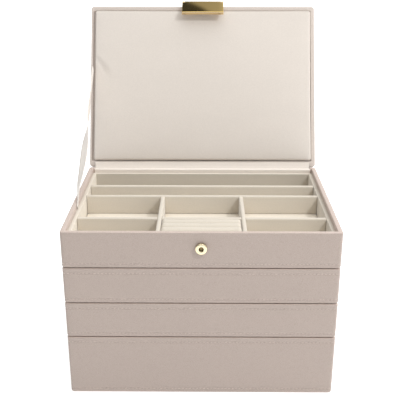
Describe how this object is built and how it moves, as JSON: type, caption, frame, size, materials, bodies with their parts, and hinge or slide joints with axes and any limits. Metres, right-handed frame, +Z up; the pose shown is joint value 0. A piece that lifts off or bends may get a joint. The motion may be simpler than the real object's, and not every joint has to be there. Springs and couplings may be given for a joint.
{
  "type": "tiered jewellery box",
  "caption": "Stacking jewellery box: nesting lined tiers with open compartments and ring rolls, under a hinged padded lid with a stay ribbon and a clasp flap.",
  "frame": {"origin": "middle of the footprint, on the table", "axes": "+X to the right along the width, +Y to the back where the lid is hinged, +Z up; the lid is stored open"},
  "size_m": [0.25, 0.2662, 0.3376],
  "materials": {
    "leatherette": "fine-grained matt leatherette over board, with stitched edges",
    "suedette": "short-pile lining cloth over board",
    "padding": "short-pile lining cloth over foam",
    "lining_cloth": "loose short-pile lining cloth",
    "ribbon": "woven ribbed ribbon with a soft sheen",
    "board": "paper-wrapped fibreboard, matt",
    "felt": "short felt",
    "gold": "polished gold-coloured plating",
    "steel": "darkened steel"
  },
  "bodies": {
    "deep_tier": {"deep_base": "board", "deep_case": "leatherette", "deep_column_divider": "suedette", "deep_cross_divider": "suedette", "deep_floor": "suedette", "deep_liner": "suedette", "deep_underfelt": "felt"},
    "lower_tray": {"lower_base": "board", "lower_case": "leatherette", "lower_floor": "suedette", "lower_lane_divider_1": "suedette", "lower_lane_divider_2": "suedette", "lower_lane_divider_3": "suedette", "lower_liner": "suedette", "lower_plinth": "board"},
    "upper_tray": {"upper_base": "board", "upper_case": "leatherette", "upper_cross_divider": "suedette", "upper_floor": "suedette", "upper_front_divider_1": "suedette", "upper_front_divider_2": "suedette", "upper_front_divider_3": "suedette", "upper_liner": "suedette", "upper_plinth": "board", "upper_rear_divider_1": "suedette", "upper_rear_divider_2": "suedette", "upper_rear_divider_3": "suedette"},
    "top_tray": {"hinge_lining": "lining_cloth", "hinge_spine": "leatherette", "ring_roll_1": "padding", "ring_roll_2": "padding", "ring_roll_3": "padding", "ring_roll_4": "padding", "stay_ribbon": "ribbon", "stud_post": "steel", "stud_ring": "gold", "stud_washer": "steel", "top_base": "board", "top_case": "leatherette", "top_floor": "suedette", "top_front_left_divider": "suedette", "top_front_middle_divider": "suedette", "top_front_right_divider": "suedette", "top_left_column_divider": "suedette", "top_liner": "suedette", "top_middle_divider": "suedette", "top_plinth": "board", "top_rear_divider": "suedette", "top_right_column_divider": "suedette"},
    "lid": {"clasp_leaf": "gold", "clasp_pin": "steel", "lid_board": "leatherette", "lid_pad": "padding"},
    "clasp_flap": {"clasp_flap": "gold", "clasp_magnet": "steel"}
  },
  "joints": [
    {"name": "lower_tray_lift", "type": "slide", "parent": "deep_tier", "child": "lower_tray", "axis": [0, 0, 1], "range_m": [0, 0.08]},
    {"name": "upper_tray_lift", "type": "slide", "parent": "lower_tray", "child": "upper_tray", "axis": [0, 0, 1], "range_m": [0, 0.08]},
    {"name": "top_tray_lift", "type": "slide", "parent": "upper_tray", "child": "top_tray", "axis": [0, 0, 1], "range_m": [0, 0.08]},
    {"name": "lid_hinge", "type": "hinge", "parent": "top_tray", "child": "lid", "pos_m": [0, 0.0903, 0.16785], "axis": [1, 0, 0], "range_deg": [0, 114.6], "deforming": ["hinge_lining", "hinge_spine", "stay_ribbon"]},
    {"name": "clasp_turn", "type": "hinge", "parent": "lid", "child": "clasp_flap", "pos_m": [0, 0.1708, 0.33611], "axis": [-1, 0, 0], "range_deg": [0, 44.5]}
  ],
  "couplings": [
    {"joint": "clasp_turn", "follows": "lid_hinge", "ratio": 0.38831}
  ]
}
